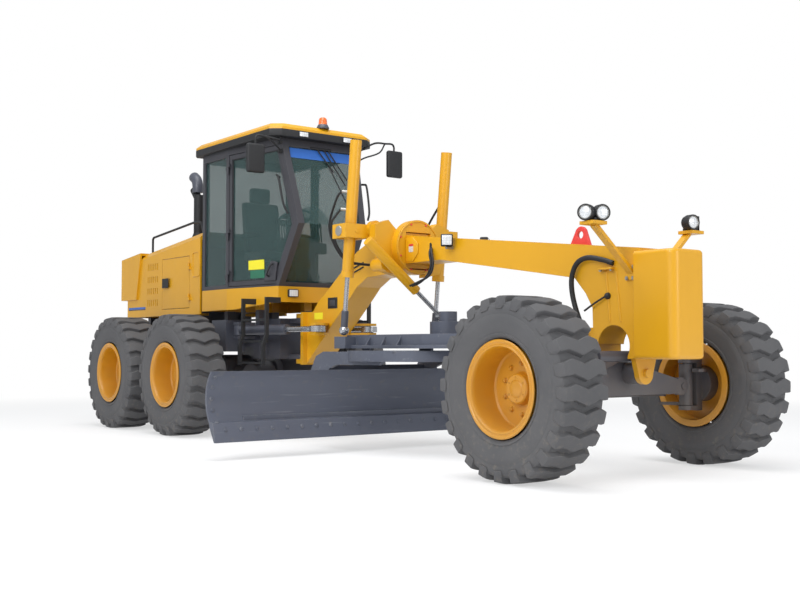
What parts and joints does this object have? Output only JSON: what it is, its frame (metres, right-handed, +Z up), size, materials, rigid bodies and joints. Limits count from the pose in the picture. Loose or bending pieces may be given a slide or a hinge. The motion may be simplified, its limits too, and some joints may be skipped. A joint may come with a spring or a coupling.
{
  "type": "motor grader",
  "caption": "Articulated motor grader with a blade on a turning circle, leaning and steering front wheels and rear tandem drive.",
  "frame": {"origin": "middle of the ground area that the machine covers, on the ground", "axes": "+X forward along the machine, +Y to its left, +Z up"},
  "size_m": [8.9598, 4.27, 3.4988],
  "materials": {
    "body_yellow": "gloss",
    "rim_yellow": "gloss",
    "frame_grey": "satin",
    "blade_grey": "satin",
    "cab_grey": "satin",
    "black": "matte",
    "tyre_rubber": "matte",
    "chrome_rod": "polished",
    "glazing": "clear",
    "seat_fabric": "matte",
    "red_paint": "gloss",
    "beacon_orange": "clear",
    "bare_steel": "satin",
    "lamp_glass": "clear",
    "lime_sign": "gloss",
    "blue_paint": "gloss"
  },
  "bodies": {
    "rear_body": {"rear_frame": "frame_grey", "rear_axle": "frame_grey", "engine": "frame_grey", "hood": "body_yellow", "exhaust": "black", "cab_base": "body_yellow", "cab_frame": "cab_grey", "cab_roof": "body_yellow", "cab_glass": "glazing", "seat": "seat_fabric", "controls": "black", "ladders": "black", "hand_rails": "black", "mirrors": "black", "beacon": "beacon_orange"},
    "front_body": {"front_frame": "body_yellow", "saddle": "body_yellow", "lift_yokes": "body_yellow", "headlamps": "black"},
    "front_axle": {"front_axle": "frame_grey"},
    "steering_rod": {"steering_rod": "chrome_rod"},
    "tie_rod": {"tie_rod": "frame_grey"},
    "draft_ball": {"draft_ball": "bare_steel"},
    "drawbar": {"drawbar": "blade_grey"},
    "circle": {"circle": "blade_grey"},
    "blade_tilt": {"blade_bracket": "blade_grey"},
    "blade": {"moldboard": "blade_grey"},
    "shift_barrel": {"shift_barrel": "body_yellow"},
    "shift_rod": {"shift_rod": "chrome_rod"},
    "cab_door_left": {"cab_door_left": "cab_grey"},
    "hood_door_left": {"hood_door_left": "body_yellow"},
    "tandem_left": {"tandem_left": "frame_grey"},
    "artic_barrel_left": {"artic_barrel_left": "frame_grey"},
    "artic_rod_left": {"artic_rod_left": "chrome_rod"},
    "lift_barrel_left": {"lift_barrel_left": "body_yellow"},
    "lift_rod_left": {"lift_rod_left": "chrome_rod"},
    "lean_yoke_left": {"lean_yoke_left": "frame_grey"},
    "knuckle_left": {"knuckle_left": "frame_grey"},
    "wheel_rear_left": {"tyre_rear_left": "tyre_rubber", "rim_rear_left": "rim_yellow"},
    "wheel_middle_left": {"tyre_middle_left": "tyre_rubber", "rim_middle_left": "rim_yellow"},
    "wheel_front_left": {"tyre_front_left": "tyre_rubber", "rim_front_left": "rim_yellow"},
    "cab_door_right": {"cab_door_right": "cab_grey"},
    "hood_door_right": {"hood_door_right": "body_yellow"},
    "tandem_right": {"tandem_right": "frame_grey"},
    "artic_barrel_right": {"artic_barrel_right": "frame_grey"},
    "artic_rod_right": {"artic_rod_right": "chrome_rod"},
    "lift_barrel_right": {"lift_barrel_right": "body_yellow"},
    "lift_rod_right": {"lift_rod_right": "chrome_rod"},
    "lean_yoke_right": {"lean_yoke_right": "frame_grey"},
    "knuckle_right": {"knuckle_right": "frame_grey"},
    "wheel_rear_right": {"tyre_rear_right": "tyre_rubber", "rim_rear_right": "rim_yellow"},
    "wheel_middle_right": {"tyre_middle_right": "tyre_rubber", "rim_middle_right": "rim_yellow"},
    "wheel_front_right": {"tyre_front_right": "tyre_rubber", "rim_front_right": "rim_yellow"}
  },
  "joints": [
    {"name": "articulation", "type": "hinge", "parent": "rear_body", "child": "front_body", "pos_m": [-0.75, 0, 1.07355], "axis": [0, 0, 1], "range_deg": [-27, 27]},
    {"name": "hood_door_left_hinge", "type": "hinge", "parent": "rear_body", "child": "hood_door_left", "pos_m": [-2.42, 0.613, 1.75855], "axis": [0, 0, -1], "range_deg": [0, 95]},
    {"name": "cab_door_left_hinge", "type": "hinge", "parent": "rear_body", "child": "cab_door_left", "pos_m": [-1.458, 0.609, 2.39855], "axis": [0, 0, 1], "range_deg": [0, 90]},
    {"name": "tandem_left_pivot", "type": "hinge", "parent": "rear_body", "child": "tandem_left", "pos_m": [-2.42, 0.71, 0.67355], "axis": [0, -1, 0], "range_deg": [-15, 15]},
    {"name": "wheel_rear_left_spin", "type": "hinge", "parent": "tandem_left", "child": "wheel_rear_left", "pos_m": [-3.189, 1.078, 0.67355], "axis": [0, 1, 0], "continuous": true},
    {"name": "wheel_middle_left_spin", "type": "hinge", "parent": "tandem_left", "child": "wheel_middle_left", "pos_m": [-1.651, 1.078, 0.67355], "axis": [0, 1, 0], "continuous": true},
    {"name": "artic_barrel_left_pivot", "type": "hinge", "parent": "rear_body", "child": "artic_barrel_left", "pos_m": [-1.37, 0.5, 1.16855], "axis": [0, 0, 1], "range_deg": [-13.83, 13.83]},
    {"name": "artic_rod_left_slide", "type": "slide", "parent": "artic_barrel_left", "child": "artic_rod_left", "axis": [0.9922, -0.1249, 0], "range_m": [-0.2001, 0.2001]},
    {"name": "hood_door_right_hinge", "type": "hinge", "parent": "rear_body", "child": "hood_door_right", "pos_m": [-2.42, -0.613, 1.75855], "axis": [0, 0, 1], "range_deg": [0, 95]},
    {"name": "cab_door_right_hinge", "type": "hinge", "parent": "rear_body", "child": "cab_door_right", "pos_m": [-1.458, -0.609, 2.39855], "axis": [0, 0, -1], "range_deg": [0, 90]},
    {"name": "tandem_right_pivot", "type": "hinge", "parent": "rear_body", "child": "tandem_right", "pos_m": [-2.42, -0.71, 0.67355], "axis": [0, -1, 0], "range_deg": [-15, 15]},
    {"name": "wheel_rear_right_spin", "type": "hinge", "parent": "tandem_right", "child": "wheel_rear_right", "pos_m": [-3.189, -1.078, 0.67355], "axis": [0, 1, 0], "continuous": true},
    {"name": "wheel_middle_right_spin", "type": "hinge", "parent": "tandem_right", "child": "wheel_middle_right", "pos_m": [-1.651, -1.078, 0.67355], "axis": [0, 1, 0], "continuous": true},
    {"name": "artic_barrel_right_pivot", "type": "hinge", "parent": "rear_body", "child": "artic_barrel_right", "pos_m": [-1.37, -0.5, 1.16855], "axis": [0, 0, 1], "range_deg": [-13.83, 13.83]},
    {"name": "artic_rod_right_slide", "type": "slide", "parent": "artic_barrel_right", "child": "artic_rod_right", "axis": [0.9922, 0.1249, 0], "range_m": [-0.2001, 0.2001]},
    {"name": "front_axle_swing", "type": "hinge", "parent": "front_body", "child": "front_axle", "pos_m": [3.799, 0, 0.77355], "axis": [1, 0, 0], "range_deg": [-15, 15]},
    {"name": "wheel_lean_left", "type": "hinge", "parent": "front_axle", "child": "lean_yoke_left", "pos_m": [3.799, 0.66, 0.65855], "axis": [1, 0, 0], "range_deg": [-17, 17]},
    {"name": "steer_left", "type": "hinge", "parent": "lean_yoke_left", "child": "knuckle_left", "pos_m": [3.799, 0.8, 0.67355], "axis": [0, 0, 1], "range_deg": [-50, 50]},
    {"name": "wheel_front_left_spin", "type": "hinge", "parent": "knuckle_left", "child": "wheel_front_left", "pos_m": [3.799, 1.078, 0.67355], "axis": [0, 1, 0], "continuous": true},
    {"name": "wheel_lean_right", "type": "hinge", "parent": "front_axle", "child": "lean_yoke_right", "pos_m": [3.799, -0.66, 0.65855], "axis": [1, 0, 0], "range_deg": [-17, 17]},
    {"name": "steer_right", "type": "hinge", "parent": "lean_yoke_right", "child": "knuckle_right", "pos_m": [3.799, -0.8, 0.67355], "axis": [0, 0, 1], "range_deg": [-50, 50]},
    {"name": "wheel_front_right_spin", "type": "hinge", "parent": "knuckle_right", "child": "wheel_front_right", "pos_m": [3.799, -1.078, 0.67355], "axis": [0, 1, 0], "continuous": true},
    {"name": "steering_rod_slide", "type": "slide", "parent": "front_axle", "child": "steering_rod", "axis": [0.0613, 0.9981, 0], "range_m": [-0.1488, 0.1488]},
    {"name": "tie_rod_slide", "type": "slide", "parent": "front_axle", "child": "tie_rod", "axis": [0, 1, 0], "range_m": [-0.1644, 0.1644]},
    {"name": "drawbar_yaw", "type": "hinge", "parent": "front_body", "child": "draft_ball", "pos_m": [3.38, 0, 1.02855], "axis": [0, 0, 1], "range_deg": [-8, 8]},
    {"name": "drawbar_pitch", "type": "hinge", "parent": "draft_ball", "child": "drawbar", "pos_m": [3.38, 0, 1.02855], "axis": [0, 1, 0], "range_deg": [-13, 5.8]},
    {"name": "circle_turn", "type": "hinge", "parent": "drawbar", "child": "circle", "pos_m": [1.38, 0, 0.89355], "axis": [0, 0, 1], "continuous": true},
    {"name": "blade_tip", "type": "hinge", "parent": "circle", "child": "blade_tilt", "pos_m": [0.88, 0, 0.29855], "axis": [0, 1, 0], "range_deg": [0, 42]},
    {"name": "blade_side_shift", "type": "slide", "parent": "blade_tilt", "child": "blade", "axis": [0, -1, 0], "range_m": [-0.67, 0.67]},
    {"name": "lift_barrel_left_pivot", "type": "hinge", "parent": "front_body", "child": "lift_barrel_left", "pos_m": [0.91, 0.565, 2.08855], "axis": [1, 0, 0], "range_deg": [-21.44, 21.44]},
    {"name": "lift_rod_left_slide", "type": "slide", "parent": "lift_barrel_left", "child": "lift_rod_left", "axis": [-0.1086, 0, -0.9941], "range_m": [-0.2617, 0.5867]},
    {"name": "lift_barrel_right_pivot", "type": "hinge", "parent": "front_body", "child": "lift_barrel_right", "pos_m": [0.91, -0.565, 2.08855], "axis": [1, 0, 0], "range_deg": [-21.44, 21.44]},
    {"name": "lift_rod_right_slide", "type": "slide", "parent": "lift_barrel_right", "child": "lift_rod_right", "axis": [-0.1086, 0, -0.9941], "range_m": [-0.2617, 0.5867]},
    {"name": "shift_barrel_pivot", "type": "hinge", "parent": "front_body", "child": "shift_barrel", "pos_m": [1.315, -0.39, 1.76355], "axis": [1, 0, 0], "range_deg": [-13.87, 13.87]},
    {"name": "shift_rod_slide", "type": "slide", "parent": "shift_barrel", "child": "shift_rod", "axis": [0, 0.7852, -0.6192], "range_m": [-0.2264, 0.2264]}
  ],
  "couplings": [
    {"joint": "artic_barrel_left_pivot", "follows": "articulation", "ratio": 0.50205},
    {"joint": "artic_rod_left_slide", "follows": "articulation", "m_per_rad": -0.41622},
    {"joint": "artic_barrel_right_pivot", "follows": "articulation", "ratio": 0.50205},
    {"joint": "artic_rod_right_slide", "follows": "articulation", "m_per_rad": 0.41622},
    {"joint": "wheel_lean_right", "follows": "wheel_lean_left", "ratio": 1},
    {"joint": "steer_right", "follows": "steer_left", "ratio": 1},
    {"joint": "steering_rod_slide", "follows": "steer_left", "m_per_rad": 0.16716},
    {"joint": "tie_rod_slide", "follows": "steer_left", "m_per_rad": -0.1847},
    {"joint": "lift_barrel_left_pivot", "follows": "drawbar_yaw", "ratio": -2.6281},
    {"joint": "lift_rod_left_slide", "follows": "drawbar_pitch", "m_per_rad": -2.535},
    {"joint": "lift_barrel_right_pivot", "follows": "drawbar_yaw", "ratio": -2.6281},
    {"joint": "lift_rod_right_slide", "follows": "drawbar_pitch", "m_per_rad": -2.535},
    {"joint": "shift_barrel_pivot", "follows": "drawbar_yaw", "ratio": -1.6993},
    {"joint": "shift_rod_slide", "follows": "drawbar_yaw", "m_per_rad": -1.5899}
  ]
}
